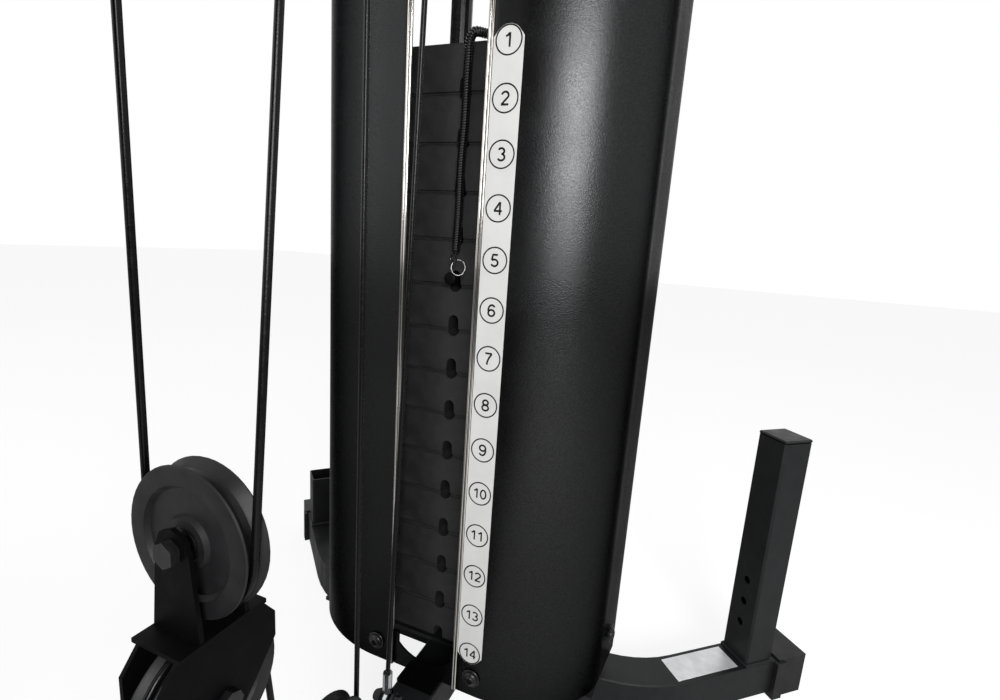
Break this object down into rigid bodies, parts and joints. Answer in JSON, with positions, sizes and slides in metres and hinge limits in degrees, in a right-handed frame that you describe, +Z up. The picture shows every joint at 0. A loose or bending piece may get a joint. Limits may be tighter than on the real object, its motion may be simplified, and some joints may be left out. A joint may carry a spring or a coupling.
{
  "type": "multi gym",
  "caption": "Home multi gym: shrouded weight stack with a cable tower, padded seat and back, press arms, lat bar and leg lever on one floor frame.",
  "frame": {"origin": "on the floor, at the middle of the centre foot, under the front plane of the weight tower", "axes": "+Z up, +Y from the seat towards the weight tower, +X to the right when facing the tower"},
  "size_m": [0.9816, 1.4521, 2.04],
  "materials": {
    "black_paint": "satin black powder coat on the frame",
    "cover_paint": "satin black paint with a fine orange peel on the cover",
    "plate_shell": "fine-grained black shell of the weight plates",
    "chrome": "polished chrome",
    "black_steel": "black oxide with a soft gloss",
    "nylon": "black nylon",
    "cable_sheath": "glossy black sheath",
    "rubber": "matt black rubber",
    "scale_sheet": "light silver sheet",
    "upholstery": "black grained cover with padding under it",
    "foam": "soft black foam"
  },
  "bodies": {
    "frame": {"rear_base": "black_paint", "front_base": "black_paint", "main_beam": "black_paint", "side_post": "black_paint", "side_socket": "black_paint", "mast": "black_paint", "top_beam": "black_paint", "seat_frame": "black_paint", "cover_left": "cover_paint", "cover_right": "cover_paint", "lower_band": "cover_paint", "resting_plates": "plate_shell", "trim_left": "chrome", "trim_right": "chrome", "anchor_ferrule": "chrome", "guide_rod_left": "black_steel", "guide_rod_right": "black_steel", "front_bolt_left": "black_steel", "front_bolt_right": "black_steel", "side_bolt_left": "black_steel", "side_bolt_right": "black_steel", "lever_pin": "black_steel", "press_axle": "black_steel", "foot_cap_left": "nylon", "foot_cap_right": "nylon", "side_post_cap": "nylon", "high_cable": "cable_sheath", "stack_cable": "cable_sheath", "centre_foot": "rubber", "stack_cushion": "rubber", "number_scale": "scale_sheet", "seat_pad": "upholstery", "back_pad": "upholstery", "knee_roller_left": "foam", "knee_roller_right": "foam"},
    "lifted_stack": {"lifted_plates": "plate_shell", "selector_stem": "black_steel", "pin_tether": "cable_sheath"},
    "pin": {"selector_pin": "chrome"},
    "block": {"floating_block": "black_paint", "block_axle_upper": "black_steel", "block_axle_lower": "black_steel"},
    "lat_handle": {"lat_bar": "chrome", "lat_hook": "chrome"},
    "press": {"press_arms": "black_paint"},
    "leg": {"leg_lever": "black_paint", "leg_roller_left": "foam", "leg_roller_right": "foam"},
    "wheel_stack_rear": {"pulley_stack_rear": "nylon"},
    "wheel_stack_front": {"pulley_stack_front": "nylon"},
    "wheel_tower_high": {"pulley_tower_high": "nylon"},
    "wheel_block_lower": {"pulley_block_lower": "nylon"},
    "wheel_low_rear": {"pulley_low_rear": "nylon"},
    "wheel_low_mast": {"pulley_low_mast": "nylon"},
    "wheel_low_front": {"pulley_low_front": "nylon"},
    "wheel_mast": {"pulley_mast": "nylon"},
    "wheel_press": {"pulley_press": "nylon"},
    "wheel_beam": {"pulley_beam": "nylon"},
    "wheel_lat": {"pulley_lat": "nylon"},
    "wheel_block_upper": {"pulley_block_upper": "nylon"}
  },
  "joints": [
    {"name": "stack_lift", "type": "slide", "parent": "frame", "child": "lifted_stack", "axis": [0, 0, 1], "range_m": [0, 0.8], "deforming": ["stack_cable", "high_cable"]},
    {"name": "pin_pull", "type": "slide", "parent": "lifted_stack", "child": "pin", "axis": [0, -1, 0], "range_m": [0, 0.06], "deforming": ["pin_tether"]},
    {"name": "block_rise", "type": "slide", "parent": "frame", "child": "block", "axis": [0, 0, 1], "range_m": [0, 0.4], "deforming": ["high_cable", "stack_cable"]},
    {"name": "lat_pull", "type": "slide", "parent": "frame", "child": "lat_handle", "axis": [0, 0, -1], "range_m": [0, 0.8], "deforming": ["high_cable", "stack_cable"]},
    {"name": "press_swing", "type": "hinge", "parent": "frame", "child": "press", "pos_m": [0, -0.5, 1.845], "axis": [-1, 0, 0], "range_deg": [0, 35], "deforming": ["high_cable"]},
    {"name": "leg_swing", "type": "hinge", "parent": "frame", "child": "leg", "pos_m": [0, -1.036, 0.385], "axis": [-1, 0, 0], "range_deg": [0, 75], "deforming": ["stack_cable"]},
    {"name": "stack_rear_spin", "type": "hinge", "parent": "frame", "child": "wheel_stack_rear", "pos_m": [0, 0.0659, 1.905], "axis": [1, 0, 0], "continuous": true},
    {"name": "stack_front_spin", "type": "hinge", "parent": "frame", "child": "wheel_stack_front", "pos_m": [0, -0.0815, 1.905], "axis": [1, 0, 0], "continuous": true},
    {"name": "tower_high_spin", "type": "hinge", "parent": "frame", "child": "wheel_tower_high", "pos_m": [0.04, -0.1112, 1.905], "axis": [1, 0, 0], "continuous": true},
    {"name": "block_lower_spin", "type": "hinge", "parent": "block", "child": "wheel_block_lower", "pos_m": [0, -0.2835, 0.307], "axis": [1, 0, 0], "continuous": true},
    {"name": "low_rear_spin", "type": "hinge", "parent": "frame", "child": "wheel_low_rear", "pos_m": [0, -0.1725, 0.143], "axis": [1, 0, 0], "continuous": true},
    {"name": "low_mast_spin", "type": "hinge", "parent": "frame", "child": "wheel_low_mast", "pos_m": [0, -0.345, 0.143], "axis": [1, 0, 0], "continuous": true},
    {"name": "low_front_spin", "type": "hinge", "parent": "frame", "child": "wheel_low_front", "pos_m": [0, -0.895, 0.143], "axis": [1, 0, 0], "continuous": true},
    {"name": "mast_spin", "type": "hinge", "parent": "frame", "child": "wheel_mast", "pos_m": [0, -0.35, 1.6], "axis": [1, 0, 0], "continuous": true},
    {"name": "press_spin", "type": "hinge", "parent": "press", "child": "wheel_press", "pos_m": [0, -0.56, 1.691], "axis": [1, 0, 0], "continuous": true},
    {"name": "beam_spin", "type": "hinge", "parent": "frame", "child": "wheel_beam", "pos_m": [0, -0.651, 1.905], "axis": [1, 0, 0], "continuous": true},
    {"name": "lat_spin", "type": "hinge", "parent": "frame", "child": "wheel_lat", "pos_m": [0, -0.98, 1.905], "axis": [1, 0, 0], "continuous": true},
    {"name": "block_upper_spin", "type": "hinge", "parent": "block", "child": "wheel_block_upper", "pos_m": [0, -0.2835, 0.417], "axis": [0, 1, 0], "continuous": true}
  ],
  "couplings": [
    {"joint": "block_rise", "follows": "stack_lift", "ratio": 0.5},
    {"joint": "lat_pull", "follows": "stack_lift", "ratio": 1},
    {"joint": "stack_rear_spin", "follows": "stack_lift", "rad_per_m": 21.978},
    {"joint": "stack_front_spin", "follows": "stack_lift", "rad_per_m": 21.978},
    {"joint": "block_lower_spin", "follows": "stack_lift", "rad_per_m": 10.989},
    {"joint": "low_rear_spin", "follows": "stack_lift", "rad_per_m": -21.978},
    {"joint": "mast_spin", "follows": "stack_lift", "rad_per_m": 21.978},
    {"joint": "press_spin", "follows": "stack_lift", "rad_per_m": -21.978},
    {"joint": "beam_spin", "follows": "stack_lift", "rad_per_m": 21.978},
    {"joint": "lat_spin", "follows": "stack_lift", "rad_per_m": 21.978},
    {"joint": "block_upper_spin", "follows": "stack_lift", "rad_per_m": 10.989}
  ]
}
